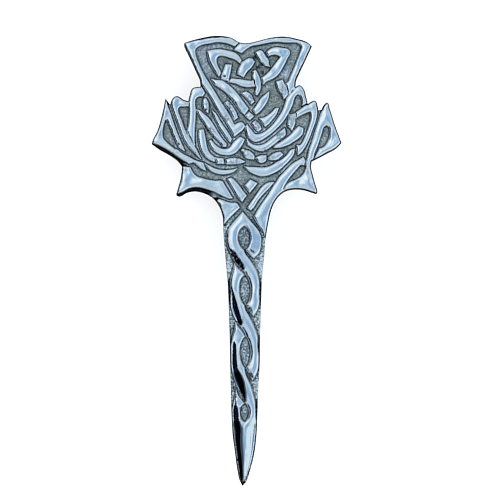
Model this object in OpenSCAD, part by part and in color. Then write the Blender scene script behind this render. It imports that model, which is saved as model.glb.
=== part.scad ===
// Kilt pin: a cast thistle head of raised interlace on a long twisted blade,
// with a plain brooch pin soldered to its flat back.
// It lies face up. X runs across the head, Y from the blade's tip to the crest,
// Z out of the face. All lengths are millimetres.

/* [Head] */
// Width from leaf tip to leaf tip
head_w = 42.4; // [34:0.2:56]
// Height of the head, from the neck to the crest
head_h = 38; // [27:0.2:54]

/* [Shaft] */
// Length of the shaft, from the neck to the blade's tip
shaft_len = 62; // [45:0.5:90]

/* [Casting] */
// Thickness of the flat plate that carries the relief
plate_t = 1.9; // [1.2:0.1:3]
// Height of the raised strands above the plate
relief_h = 1.1; // [0.6:0.1:1.6]
// Ledge left between the plate's edge and the relief
rim = 0.2; // [0.1:0.05:0.4]
// Longest straight step along a curved edge
facet = 1; // [0.5:0.1:2]

/* [Brooch pin] */
// Diameter of the pin's stem
stem_d = 1.2; // [0.9:0.1:1.6]
// Clear room between the stem and the casting's back
cloth_room = 4.3; // [4.2:0.1:8]
// Height of the hinge post above the neck, as a share of the head's height
hinge_at = 0.74; // [0.6:0.02:0.85]
// Depth of the catch post below the neck, as a share of the shaft's length
catch_at = 0.2; // [0.14:0.01:0.3]
// Width of both posts across the pin
post_w = 5.4; // [4:0.2:7]
// Thickness of both posts along the pin
post_t = 2.4; // [1.8:0.1:3.5]
// Metal left between the stem and the surface that the posts stand on
foot_t = 0.4; // [0.3:0.05:1]
// Length of the stem beyond the catch post
point_len = 4; // [2:0.5:6]
// Share of that length which tapers to the tip
taper = 0.75; // [0.5:0.05:1]
// Diameter of the blunt tip
tip_d = 0.2; // [0.1:0.05:0.4]
// Gap between the posts and the casting's back
seat_gap = 0.05; // [0.02:0.01:0.2]

/* [Hidden] */
$fn = 48;
silver = "#a9b4bd";
steel = "#8f979e";

// Columns of every outline table: across the head as a percent of its half width,
// along it as a percent of the head's height or the shaft's length, and 1 at a corner.
ACROSS = 0;
ALONG = 1;
CORNER = 2;
half_w = head_w / 2;
stem_z = foot_t + stem_d / 2;
back_z = stem_z + stem_d / 2 + cloth_room;
face_z = back_z + plate_t;

// A table's share turned into millimetres: v above the neck, s below it
function up(v) = v / 100 * head_h;
function down(s) = -s / 100 * shaft_len;
function over(u) = u / 100 * half_w;
function head_pt(r) = [over(r[ACROSS]), up(r[ALONG])];
function shaft_pt(r) = [over(r[ACROSS]), down(r[ALONG])];
function sharp(r) = len(r) > CORNER;

// Direction of a smooth edge at q, between its neighbours p and r
function unit(v) = v / max(norm(v), 0.0001);
function lean(p, q, r) = unit(unit(q - p) * norm(r - q) + unit(r - q) * norm(q - p));
// Slopes at both ends of the edge from a to b: straight between two corners
function slope_a(a, b, ta, tb, ca, cb) =
    !ca ? ta * norm(b - a) : cb ? b - a : 1.5 * (b - a) - 0.5 * tb * norm(b - a);
function slope_b(a, b, ta, tb, ca, cb) =
    !cb ? tb * norm(b - a) : ca ? b - a : 1.5 * (b - a) - 0.5 * ta * norm(b - a);
function between(a, b, ma, mb, t) =
    (2 * t * t * t - 3 * t * t + 1) * a + (t * t * t - 2 * t * t + t) * ma
    + (3 * t * t - 2 * t * t * t) * b + (t * t * t - t * t) * mb;

// Closed curve through the points p, smooth except where c is true
function closed_curve(p, c) =
    let (n = len(p))
    let (t = [for (i = [0 : n - 1]) lean(p[(i + n - 1) % n], p[i], p[(i + 1) % n])])
    [for (i = [0 : n - 1])
        let (j = (i + 1) % n)
        let (steps = c[i] && c[j] ? 1 : max(2, ceil(norm(p[j] - p[i]) / facet)))
        let (ma = slope_a(p[i], p[j], t[i], t[j], c[i], c[j]))
        let (mb = slope_b(p[i], p[j], t[i], t[j], c[i], c[j]))
        for (k = [0 : steps - 1]) between(p[i], p[j], ma, mb, k / steps)];
function head_curve(rows) =
    closed_curve([for (r = rows) head_pt(r)], [for (r = rows) sharp(r)]);
function shaft_curve(rows) =
    closed_curve([for (r = rows) shaft_pt(r)], [for (r = rows) sharp(r)]);

module head_shape(rows) polygon(head_curve(rows));
module shaft_shape(rows) polygon(shaft_curve(rows));

// Outline of the head down to the neck, clockwise from the left horn
HEAD_EDGE = [
    [-65.5, 97.1, 1], [-50, 99.6], [-31, 101.2], [-16, 100], [-7.5, 97.4], [0, 96.9],
    [10, 97.9], [23, 99.8], [37, 100.8], [52, 99.6], [66, 96.6], [68.8, 95, 1],
    [61.3, 86], [55, 78.5], [52, 74.4], [51.5, 71, 1],
    [55.6, 72.2], [59.2, 70.8], [62.3, 66], [64.3, 61.2, 1],
    [68, 62.5], [72, 63.2], [74.6, 60], [75.4, 57.3, 1], [79, 57.8, 1],
    [81.8, 60.9], [85, 62.1], [87.3, 58.8], [92.5, 49.6], [100, 38.3, 1],
    [96, 35.8], [83, 31.5], [68.6, 27.4, 1],
    [67.8, 24.8], [70, 19], [74.5, 10.4, 1], [73.6, 8.4], [70.3, 8.8],
    [61, 10.4], [50, 10.9], [39.5, 9.4], [31, 4.8], [26.7, 0], [23.3, -7.4],
    [21.6, -12.4], [20, -18, 1], [-23.8, -18, 1], [-24.6, -11],
    [-25.6, -4], [-29, 1], [-36, 6], [-46, 8.9], [-55, 9.8], [-64, 8.7], [-71, 6.8],
    [-74, 7.6], [-73.3, 9.6], [-69.6, 17], [-68, 24.3, 1],
    [-72, 27.2], [-83, 31.6], [-92, 34.4], [-100, 37.6, 1], [-99, 39.6], [-94, 45.2],
    [-90.3, 52], [-87.3, 59], [-85.4, 64.4, 1], [-80.3, 60.7, 1],
    [-76.8, 65], [-73.5, 65.9], [-67, 63.9], [-61.4, 62.7, 1],
    [-59.8, 66.6], [-56.8, 70.4], [-52.5, 71.2], [-48.6, 71.2, 1],
    [-49.3, 75], [-53.2, 80], [-58.2, 86.2], [-62.8, 91.6], [-65.8, 95.6]];

// Outline of the shaft, clockwise: down its right edge, round the tip and up the left
SHAFT_EDGE = [
    [21.8, 7, 1], [20.2, 10], [18.8, 16.5], [16.4, 25], [15.2, 35], [14.2, 47],
    [13.9, 55], [12.4, 65], [11.3, 75], [10.2, 82.5], [7.2, 89.7], [3, 95],
    [0.2, 98], [-4.4, 99.8, 1], [-7.3, 98], [-9.3, 95], [-12.4, 87.5], [-14.4, 82.5],
    [-15.8, 75], [-16.6, 65], [-17.4, 55], [-17.9, 45], [-18.8, 36], [-20.1, 26],
    [-22.3, 17.5], [-24.1, 10], [-24.5, 7, 1]];

// The bands round the head: the long left band with its own arc and hook,
// and the right arc with the band that it turns down into
LEFT_BAND = [
    [-72, 99, 1], [-62, 103], [-30, 106], [-8, 102], [-6.4, 97.6, 1], [-13, 94.6, 1],
    [-20, 96.2], [-30, 97], [-40, 96.1], [-49, 94.9], [-53.2, 93], [-53.3, 90.5],
    [-50, 84.8], [-44, 77.8], [-38.4, 72.8], [-33, 68], [-27.8, 63.2], [-18.9, 55.5],
    [-12.6, 48.9, 1], [-9.3, 49.9], [-6, 50.5], [-3.6, 49.9, 1], [-1.5, 47.7, 1],
    [-4.3, 45.4], [-8, 43.8], [-12.9, 41.5, 1], [-20.5, 48.7], [-30, 56.9], [-38.3, 65],
    [-43.5, 69.4], [-47.8, 72.6, 1], [-53, 74.5, 1], [-60, 83]];
RIGHT_BAND = [
    [-5, 100, 1], [-6.6, 96.6, 1], [-14.1, 92.6, 1], [-9.5, 91.6], [-5.2, 90.5, 1],
    [0, 92.9], [5, 94.6], [12, 95.4], [20, 96.2], [28, 97.1], [36, 97], [45, 96.7],
    [53, 96.6], [57.4, 94.2], [56, 91.3], [52, 85.5], [48, 80], [45, 76],
    [43.6, 74.2], [41, 73, 1], [42.6, 69.3], [44.6, 66.6, 1], [47.5, 68.6], [51.1, 70.8, 1],
    [52.9, 73.2, 1], [57, 78], [64, 86], [73, 95], [66, 101], [50, 105], [35, 106], [10, 103]];

// The knot between the bands, each row table one strand between its crossings
KNOT = [
    // left inner triangle and the short bar inside it
    [[-41.7, 92.1, 1], [-36, 92.7], [-28, 93.1], [-20, 92.3], [-13, 91.2], [-8, 89.2],
     [-5.2, 86.6, 1], [-7.2, 84.6, 1], [-12, 86.6], [-19, 88], [-26, 88.9], [-30.3, 88.4],
     [-31.2, 86.4], [-29.5, 82.8], [-27.2, 80.2, 1], [-28.8, 76.8, 1], [-32.5, 79],
     [-36.5, 82.5], [-40.2, 86.7]],
    [[-22.3, 84.3, 1], [-15.3, 84, 1], [-17, 78.7], [-19.1, 74.2, 1], [-23, 74.9],
     [-27.2, 75.8, 1], [-25.3, 79.5]],
    // right inner triangle
    [[20.4, 91.2, 1], [25, 93.3], [31, 94.3], [38, 93.8], [44, 92.8], [45.8, 91.2],
     [43.3, 88], [38.5, 82.5], [33, 77.9], [27, 75.3], [21, 73.9], [17.3, 72, 1],
     [15.6, 76.3, 1], [20, 78.2], [26, 81.7], [31, 85.5], [35, 88.4, 1], [30, 89.5],
     [23, 88.7, 1]],
    // curved, slanted, level and upright bars of the crossing in the middle
    [[9, 91, 1], [11.6, 92], [15, 92.5], [18.7, 90.4], [21.5, 87], [24.8, 82.6, 1],
     [18.5, 83.6, 1], [15.8, 86.3], [12.5, 89]],
    [[3.6, 88, 1], [9.3, 86, 1], [6, 82.8], [1, 79.8], [-2.8, 76.4, 1], [-10.2, 78.4, 1],
     [-8.3, 82.3], [-4, 85.9]],
    [[-16, 76, 1], [-8, 75.6], [0, 74.9], [7.4, 74.5, 1], [8, 71, 1], [2, 70.6], [-5, 71.2],
     [-12, 72.8], [-19, 73.6, 1]],
    [[6, 80, 1], [9.5, 81.2, 1], [13.2, 77.5], [15, 73], [14.5, 69], [11, 65.6, 1],
     [8, 66.9, 1], [9.4, 70.5], [8.6, 75]],
    [[-6.5, 67.3, 1], [-0.5, 68.5, 1], [4.3, 65.8], [8.6, 62.4, 1], [5, 60.4, 1], [-0.5, 64]],
    [[31.8, 74.2, 1], [38, 75.4, 1], [40.6, 71.5], [43.5, 66.5, 1], [39, 63.4, 1],
     [35.3, 67.5], [33.2, 71.3]],
    // the long diagonal and the pieces round its end
    [[-37.6, 76, 1], [-33, 75.3], [-27, 74.9], [-21, 73.2], [-14.5, 70.1], [-8, 66.1],
     [-3.5, 62.6], [0.3, 59.8], [2.6, 58, 1], [-2.4, 54.5, 1], [-6, 56.2], [-10, 59],
     [-16.3, 64], [-22, 67.4], [-29, 70.3], [-33.5, 72]],
    [[-23.8, 61.4, 1], [-20, 63.1, 1], [-15, 60], [-11, 56.5], [-8.8, 52.8, 1],
     [-13, 51.2, 1], [-17.3, 56]],
    [[2.9, 56.5, 1], [8.2, 53.8, 1], [3.3, 51.3, 1], [-2.2, 53.8, 1]],
    [[24, 68.6, 1], [23.3, 64.6], [19.8, 60.4], [14.5, 56.6], [9.8, 54.5, 1],
     [6, 57.2, 1], [10, 60.2], [14.3, 64], [19, 66.4]],
    [[30, 58.5, 1], [34.2, 58.9, 1], [31.5, 54.9], [27, 51.6], [22.8, 48.9],
     [19.3, 47.4, 1], [16.3, 49.7], [12.8, 52.8, 1], [18.5, 53.2, 1], [24.6, 55.4]],
    [[5.2, 49.6, 1], [9, 51.4, 1], [12.6, 48.8], [15.7, 46.1, 1], [12.6, 44.7, 1],
     [8.8, 47.2]]];

// The right half's petals and leaf
RIGHT_LEAVES = [
    // first petal, whose strand runs down and round to the middle
    [[51.3, 70.6, 1], [48.4, 68.3], [44, 65.8], [41.2, 63.3], [39.4, 60.2], [37.2, 57],
     [33.5, 53.6], [28.5, 49.7], [23.5, 46.9], [18.5, 44.8], [13, 43.4], [9, 43.5],
     [5.8, 45.3], [0.3, 49.4, 1], [-1.2, 45.4], [1.2, 41.5, 1], [4.3, 40], [8, 38.7],
     [12.5, 38.9], [18.5, 40.6], [26, 43.6], [33, 47.2], [39, 50.8], [43.1, 54.3],
     [46, 57.3], [48.8, 61], [50.8, 64.6], [53.8, 66.4], [57.3, 64.2], [58.2, 61.5],
     [57.7, 59.8, 1], [61, 60.7], [64.6, 61.6, 1], [67, 63, 1], [65, 67], [61.5, 72],
     [56, 74], [52.6, 72.4, 1]],
    // second petal
    [[64.9, 60.9, 1], [60, 59.4], [55, 57.5], [51.4, 56.1, 1], [51.7, 52.4, 1],
     [56.5, 53.9], [62, 55.4], [66.3, 56.4, 1], [67.1, 54], [66.4, 50.3], [64.5, 46.6],
     [61.8, 42.6], [58.8, 39], [55.8, 37], [52.2, 37.2, 1], [52.3, 34], [53.4, 30.8, 1],
     [57.5, 32.4], [62, 36], [65.6, 40.2], [69, 45.3], [72.2, 50.2], [74.2, 54.8],
     [74.8, 58], [77, 60, 1], [76, 64], [72, 66], [68.5, 64.8], [66.3, 62.6, 1]],
    // strands that sweep from the petals round the middle
    [[40.2, 47.1, 1], [40.2, 42.1, 1], [36.5, 40.6], [31, 38.2], [26.5, 36.1], [22, 34.3],
     [16.5, 33.1], [11.5, 33.5], [6, 35], [0, 37.3, 1], [0.4, 40.7, 1], [3.5, 38.5],
     [8, 37.1], [13.5, 36.9], [19.3, 38], [25, 40.3], [31, 43], [36, 45.4]],
    [[54.5, 48.2, 1], [59.8, 46.9, 1], [59, 43.5], [55, 40.8], [50, 38.9], [45, 37.1],
     [39, 35.7], [33, 35.1], [27.5, 35.1, 1], [31, 37.1], [36, 38.9], [41, 40.9],
     [46, 43.2], [50.5, 46]],
    [[44.5, 54.8, 1], [50.5, 55.6, 1], [51, 49.3], [47.3, 45.1, 1], [43.8, 49.5]],
    [[-3.1, 24.5, 1], [4, 24.2], [11, 24.1], [18, 23.9], [24, 24.7], [30, 26.5],
     [36.5, 28.4], [41, 30.6], [45.2, 33.7, 1], [50.6, 34.9, 1], [50.2, 32], [46, 28.4],
     [40.5, 25.3], [34.5, 22.2], [28, 20.1], [21.5, 18.8], [15, 18.5], [8.5, 19.6],
     [3, 21.1]],
    // outer leaf, running down into the right spur
    [[79.4, 57.9, 1], [77.3, 55], [75.3, 51], [72.6, 46.5], [69.9, 41.8], [67.2, 37.3],
     [65.2, 34], [63.7, 30.5], [62.6, 27], [62, 24], [60, 20.7, 1], [56, 18.2],
     [51, 16.6], [45.9, 15.5], [41.6, 13.4], [39.2, 11], [37.6, 8.8, 1], [45, 7, 1],
     [68, 5], [79, 5], [77, 13], [71.5, 20], [70.8, 26, 1], [84, 29, 1], [105, 36, 1],
     [103, 42], [90, 60], [86, 65], [80.5, 62.5, 1]]];
RIGHT_LEAF_CUTS = [
    [[83.6, 48.3, 1], [86.4, 47], [87.2, 44.2], [86.5, 41.4], [84.8, 38.7], [82.2, 36.7],
     [79.2, 35.5], [76.5, 35.2], [75.4, 36.4], [76.2, 38.6], [77.8, 41.2], [79.5, 44.4],
     [81.2, 47.2]],
    [[75.9, 38, 1], [76.8, 35.8, 1], [73, 31.2, 1], [70.2, 27.8, 1], [69.2, 25, 1],
     [67.4, 25.5, 1], [71.4, 32, 1], [74.4, 35.9, 1]]];

// The strands below, down to the neck, and the right spur's neighbour
LOWER_STRANDS = [
    [[-5.5, 33, 1], [-2.5, 34.6, 1], [3, 32.4], [8.3, 30.2, 1], [8, 28.3, 1], [1, 29.6]],
    [[10.4, 28.8, 1], [14, 30.6], [20.1, 30.9, 1], [20.3, 27.4, 1], [14.8, 26.5]],
    [[22.8, 29.6, 1], [28, 31.3], [34, 32.7, 1], [37.2, 30.8, 1], [33, 29], [28, 28.3],
     [23, 28, 1]],
    [[-22, 28.6, 1], [-14.5, 29.5], [-7.5, 29.1], [-1.2, 27.1, 1], [-7.5, 25.7],
     [-14.5, 25.5], [-21.8, 25.5, 1]],
    [[-32.8, 29.7, 1], [-24.1, 29.2, 1], [-23.5, 25.8, 1], [-31.3, 25.7, 1]],
    [[-44, 26.3, 1], [-39.5, 25.1], [-34, 23.6], [-28.5, 22.6], [-21, 22.4],
     [-14.5, 22.8], [-9.3, 23.3, 1], [-14, 20.9], [-20.5, 19.8], [-28, 19.7],
     [-35, 20.8], [-40.3, 22.9]],
    [[3.7, 17, 1], [11.8, 14.6, 1], [8, 11.8], [3.2, 8.7, 1], [-2.7, 13, 1]],
    [[-21, 16.9, 1], [-15.3, 17.7, 1], [-11, 15.6], [-4.5, 11], [0.5, 7.3, 1],
     [-4.7, 3.4, 1], [-10.5, 6.9], [-16, 12.2]],
    [[29, 15.3, 1], [24, 15.2], [18.5, 13.8], [14.3, 11.4], [10.4, 8.2], [6.5, 5.2],
     [2.5, 1.9], [0.1, 0.1, 1], [4.6, -1.6, 1], [8, 0.5], [12, 4.2], [17.2, 7.8],
     [22.5, 10.8]],
    [[59.6, 30, 1], [54.2, 28.2], [49.3, 26.6], [44, 24], [38.5, 20.8], [34.5, 18.5],
     [31, 15.5], [27, 12], [22, 7.6], [17, 3.7], [12, -0.5], [6.8, -5.2, 1], [10, -8.2],
     [13.8, -11.4], [17.4, -14.3], [20, -17.4, 1], [25, -17, 1], [27, -7], [31, 0],
     [35, 4], [37, 8.5, 1], [38.1, 10.7], [40.2, 13.5], [44.3, 17], [49.5, 20.6],
     [53.3, 23], [56.3, 24.8, 1], [60.5, 24.8, 1], [61.4, 28]]];

// The left half's petals, leaf and spur
LEFT_LEAVES = [
    // first petal with its window
    [[-61.2, 62.8, 1], [-60.7, 58], [-60.9, 52], [-61.7, 47.8], [-62.8, 45.2, 1],
     [-60, 41.4], [-57, 38.6], [-54.3, 36.6, 1], [-54.3, 41], [-54.2, 46.5], [-53.4, 52.5],
     [-53.2, 58], [-53.6, 61], [-52.8, 64], [-49.5, 65.1], [-46, 65.2, 1], [-43.4, 67.4, 1],
     [-47.7, 71.2, 1], [-50.5, 73.4, 1], [-57, 75], [-62, 68]],
    // the bar and strands beside it
    [[-45.4, 63.9, 1], [-42.6, 64.6, 1], [-39.9, 61.6], [-40.2, 55.4, 1], [-45.4, 58, 1]],
    [[-52.5, 57.8, 1], [-49.2, 57.4], [-45, 55.4], [-39.8, 52.9], [-35.5, 49.7],
     [-31.5, 46], [-27, 42], [-20.8, 37.6, 1], [-21.5, 35.8, 1], [-25.5, 36.1, 1],
     [-28, 38.2], [-33, 41], [-38, 44.2], [-43.2, 48.4], [-46.8, 51.3], [-49.8, 53.8, 1]],
    [[-36.5, 57.4, 1], [-33, 56], [-28.5, 52], [-24, 48.2], [-19, 44.2], [-15.1, 40.5, 1],
     [-17.2, 38.2, 1], [-21, 40.6], [-25, 43.6], [-29, 47.2], [-32.5, 51.2], [-35, 54.4]],
    [[-37.2, 40.2, 1], [-33, 37.4], [-28.5, 35.5], [-22.8, 34.6], [-18.5, 35.4],
     [-15, 37.8], [-11.5, 40], [-6.2, 41.9, 1], [-1.6, 40.3, 1], [-3.5, 37.8],
     [-7, 34.8], [-11, 32.4], [-16.5, 31], [-23, 30.9], [-29.5, 31.8], [-34.5, 33.6],
     [-38, 36], [-39.9, 39.3, 1]],
    [[-50.2, 46, 1], [-44.8, 46.2, 1], [-43.4, 42.7], [-42.2, 39], [-40.9, 35.2],
     [-38.4, 32.3], [-34.6, 30.5, 1], [-33.2, 26.9, 1], [-37, 27.6], [-41, 28.9],
     [-45, 31], [-48.3, 34], [-50.2, 37.6], [-51, 42]],
    // second petal
    [[-61.6, 62.4, 1], [-61.4, 59.6, 1], [-66, 59.2], [-70.2, 59.2], [-71.5, 57.6],
     [-70.2, 54.6], [-67.8, 51.2], [-65.2, 46.9], [-62, 42.7], [-58, 39.1], [-54, 36],
     [-50.8, 32.8], [-47.7, 28.6, 1], [-51, 30.1], [-55.5, 32.5], [-60.5, 35.3],
     [-64.8, 38.5], [-68.2, 42.9], [-71.7, 48.4], [-75, 53.3], [-78, 57.9],
     [-79.7, 60.8, 1], [-82, 65, 1], [-76, 69], [-69, 67], [-62, 65, 1]],
    // outer leaf
    [[-85, 67, 1], [-83.1, 61], [-80.3, 56.5], [-77.2, 51.5], [-74.2, 46.6], [-71, 42],
     [-68, 38.2], [-65.3, 34.6], [-63.6, 31, 1], [-60, 30.1], [-55.5, 28.6],
     [-50.5, 27.5], [-45.4, 26.8, 1], [-42.2, 21.8, 1], [-46, 22.4], [-50, 23.9],
     [-53.5, 25.7], [-55.5, 26.6], [-58, 26.2], [-60.5, 25.8, 1], [-66.5, 27.9],
     [-72, 29.9], [-80, 33], [-88, 35.7], [-94, 37.2], [-98.6, 38, 1], [-104, 40, 1],
     [-97, 50], [-92, 60], [-88, 66]],
    // left spur and the band that leaves it for the neck
    [[-69.5, 24.4, 1], [-64, 24.3], [-58.8, 23.8, 1], [-57.3, 22], [-55.4, 20.3],
     [-52.5, 18.8], [-47, 17.8], [-40, 16.8], [-32, 16.1], [-27, 16.2], [-24.9, 15.6, 1],
     [-19.8, 11], [-14.2, 5.8, 1], [-18, 5.4], [-22, 6.2], [-28.4, 7.8], [-33.5, 9.4],
     [-38, 10.4], [-44, 11.5], [-51, 12.3], [-57.5, 12], [-63, 10.8], [-68, 9.2],
     [-72, 8.6, 1], [-78, 9, 1], [-74, 18]],
    [[-29, 5.4, 1], [-24, 4.6], [-19.5, 3.6], [-15, 3.2], [-12.2, 3.3, 1], [-6.8, 0.2, 1],
     [-11, -2.2], [-16.5, -5.2], [-20.3, -7.6, 1], [-27, -11.5, 1], [-29, -4], [-33, 2.5]]];
LEFT_LEAF_CUTS = [
    [[-85, 51.9, 1], [-83, 50.6], [-81.6, 48.4], [-79.2, 46.1], [-78, 43.6], [-76.1, 41.2],
     [-74.3, 38.8], [-72.2, 36.4], [-72, 34.8], [-74.2, 34.6], [-76.8, 35.6], [-80.4, 37.1],
     [-84, 38.9], [-87.1, 41], [-87.9, 44], [-87.2, 47.4], [-86.2, 49.8]],
    [[-74, 35.4, 1], [-71.7, 35.6, 1], [-67, 33.8, 1], [-62, 32.4, 1], [-62.2, 30.6, 1],
     [-69.4, 32.9, 1], [-74, 34.7, 1]]];

// The shaft's braid. EYES has a row for each eye, from the head down, with an
// imagined one beyond each end: where its middle lies along the shaft and half its
// length, then the middle of the braid there and half its width.
MIDDLE = 0;
HALF_LEN = 1;
CENTRE = 2;
REACH = 3;
EYES = [
    [-9, 4.3, -2.5, 19], [10.8, 4.3, -2.5, 17.9], [29.5, 5.6, -1.8, 15.9],
    [51.8, 5.8, -1.4, 15.3], [73.4, 3.3, -2.4, 12.7], [92, 3.3, -3, 9]];
last_eye = len(EYES) - 1;
// The braid's stations count its eyes. Eye k reaches EYE_SPAN to each side of station k.
EYE_SPAN = 0.25;
function eye_end(k, side) = EYES[k][MIDDLE] + side * EYES[k][HALF_LEN];
function blend(a, b, t) = a + (b - a) * t;
function along(st) =
    let (k = max(0, min(last_eye, round(st))))
    let (t = st - k)
    abs(t) <= EYE_SPAN || k + sign(t) < 0 || k + sign(t) > last_eye
        ? EYES[k][MIDDLE] + t / EYE_SPAN * EYES[k][HALF_LEN]
        : blend(eye_end(k, sign(t)), eye_end(k + sign(t), -sign(t)),
            (abs(t) - EYE_SPAN) / (1 - 2 * EYE_SPAN));
function column(st, c) =
    let (k = max(0, min(last_eye - 1, floor(st))))
    blend(EYES[k][c], EYES[k + 1][c], st - k);
function braid_row(k, r) =
    concat([column(k + r[0], CENTRE) + r[1] * column(k + r[0], REACH), along(k + r[0])],
        len(r) > 2 ? [1] : []);

// One strand, from the left of an eye across to the right of the next: the station
// from that eye, and across as a share of the braid's reach
STRAND = [
    [-0.49, -0.64, 1], [-0.4, -0.42], [-0.33, -0.2], [-0.25, -0.02, 1], [0, -0.1, 1],
    [0.25, -0.02, 1], [0.31, 0.05], [0.385, 0.21], [0.48, 0.43], [0.58, 0.62],
    [0.7, 0.81], [0.815, 0.93], [0.92, 0.985], [1.05, 1], [1.22, 0.97], [1.32, 0.86],
    [1.42, 0.55, 1], [1.345, 0.32], [1.25, 0.1, 1], [1, 0.1, 1], [0.75, 0.06, 1],
    [0.7, -0.01], [0.615, -0.24], [0.52, -0.52], [0.42, -0.74], [0.29, -0.9],
    [0.155, -0.975], [0.02, -1], [-0.11, -0.99], [-0.22, -0.9], [-0.34, -0.77]];
// An eye's outline in the same columns
EYE = [
    [-0.25, 0.03, 1], [-0.2, 0.18], [-0.1, 0.32], [0.01, 0.365], [0.12, 0.3],
    [0.2, 0.18], [0.25, 0.02, 1], [0.175, -0.2], [0.07, -0.33], [-0.045, -0.345],
    [-0.15, -0.27], [-0.22, -0.11]];
// The point above the first eye, the plain blade below the last, and the shares of
// the shaft's length between which the braid runs
PEAK = [
    [-4, 1.2, 1], [3, 3.9], [9.5, 6.6], [13.8, 8.9], [15.35, 10.7, 1], [-20.35, 10.7, 1],
    [-19.4, 8.2], [-16.2, 6], [-10, 3.4]];
BLADE = [
    [-15.1, 73.4, 1], [-13.9, 79], [-11.9, 85], [-9.9, 90.3], [-7.9, 95], [-5.8, 98.6, 1],
    [-2.6, 97.9], [-0.3, 96.3], [2.5, 93.3], [5.2, 89.9], [7.6, 85.6], [9.3, 80],
    [10.3, 73.4, 1]];
braid_top = 10.6;
braid_end = 73.5;

module braid_strand(k) shaft_shape([for (r = STRAND) braid_row(k, r)]);
module eye_hole(k) shaft_shape([for (r = EYE) braid_row(k, r)]);

// Part of the shaft between the shares a and b of its length
module stretch(a, b) {
    translate([-half_w, down(b)])
        square([head_w, down(a) - down(b)]);
}

module braid() {
    difference() {
        union() {
            intersection() {
                union() {
                    for (k = [0 : last_eye - 1]) braid_strand(k);
                }
                stretch(braid_top, braid_end);
            }
            shaft_shape(PEAK);
            shaft_shape(BLADE);
        }
        for (k = [1 : last_eye - 1]) eye_hole(k);
    }
}

module plate_outline() {
    head_shape(HEAD_EDGE);
    shaft_shape(SHAFT_EDGE);
}

module head_relief() {
    head_shape(LEFT_BAND);
    head_shape(RIGHT_BAND);
    for (rows = KNOT) head_shape(rows);
    for (rows = LOWER_STRANDS) head_shape(rows);
    difference() {
        for (rows = RIGHT_LEAVES) head_shape(rows);
        for (rows = RIGHT_LEAF_CUTS) head_shape(rows);
    }
    difference() {
        for (rows = LEFT_LEAVES) head_shape(rows);
        for (rows = LEFT_LEAF_CUTS) head_shape(rows);
    }
}

module relief() {
    intersection() {
        offset(delta = -rim) plate_outline();
        union() {
            head_relief();
            braid();
        }
    }
}

// Both sides and both ends of the plate, so that the part sits centred on the origin
HEAD_RIM = head_curve(HEAD_EDGE);
SHAFT_RIM = shaft_curve(SHAFT_EDGE);
mid_x = (min([for (p = HEAD_RIM) p[0]]) + max([for (p = HEAD_RIM) p[0]])) / 2;
mid_y = (max([for (p = HEAD_RIM) p[1]]) + min([for (p = SHAFT_RIM) p[1]])) / 2;

module casting() {
    color(silver)
        translate([-mid_x, -mid_y, 0]) {
            translate([0, 0, back_z]) linear_extrude(plate_t) plate_outline();
            translate([0, 0, face_z - plate_t / 2]) linear_extrude(plate_t / 2 + relief_h) relief();
        }
}

// A post as seen along the pin: round at the foot, square where it is soldered on
module post_face() {
    for (side = [-1, 1]) translate([side * (post_w / 2 - stem_z), stem_z]) circle(stem_z);
    translate([stem_z - post_w / 2, 0]) square([post_w - 2 * stem_z, stem_z]);
    translate([-post_w / 2, stem_z]) square([post_w, back_z - seat_gap - stem_z]);
}

module post(y) {
    translate([0, y + post_t / 2, 0])
        rotate([90, 0, 0]) linear_extrude(post_t) post_face();
}

module pin_back() {
    hinge_y = hinge_at * head_h;
    catch_y = -catch_at * shaft_len;
    tip_len = taper * point_len;
    shank = hinge_y - catch_y + post_t / 2 + point_len - tip_len;
    color(steel)
        translate([-mid_x, -mid_y, 0]) {
            post(hinge_y);
            post(catch_y);
            translate([0, hinge_y, stem_z])
                rotate([90, 0, 0]) cylinder(d = stem_d, h = shank);
            translate([0, hinge_y - shank, stem_z])
                rotate([90, 0, 0]) cylinder(d1 = stem_d, d2 = tip_d, h = tip_len);
        }
}

casting();
pin_back();
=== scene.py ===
# Looks of a kilt pin: one casting, its strands rounded and polished over a dark
# stippled ground, and a plain brooch pin on its back.
# Lengths are millimetres until a mesh is written, which is in metres. A pair whose name
# ends in ZONE, FADE or EDGE gives where a smooth change starts and ends.

import math

import bpy
import numpy as np
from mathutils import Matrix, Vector
from mathutils.geometry import delaunay_2d_cdt


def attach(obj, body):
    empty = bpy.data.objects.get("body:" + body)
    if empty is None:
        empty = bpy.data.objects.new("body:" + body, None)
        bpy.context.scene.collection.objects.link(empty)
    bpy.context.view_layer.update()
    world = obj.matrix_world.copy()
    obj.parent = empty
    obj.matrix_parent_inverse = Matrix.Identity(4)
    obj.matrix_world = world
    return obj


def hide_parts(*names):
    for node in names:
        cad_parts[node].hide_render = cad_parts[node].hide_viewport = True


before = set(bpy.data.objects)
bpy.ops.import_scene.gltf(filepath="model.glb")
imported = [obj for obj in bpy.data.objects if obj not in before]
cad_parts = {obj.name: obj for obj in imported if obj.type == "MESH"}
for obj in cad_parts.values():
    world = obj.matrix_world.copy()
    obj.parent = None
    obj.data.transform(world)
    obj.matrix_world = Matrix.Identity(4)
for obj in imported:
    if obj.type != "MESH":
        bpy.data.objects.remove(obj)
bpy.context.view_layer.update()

MM = 0.001

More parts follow.
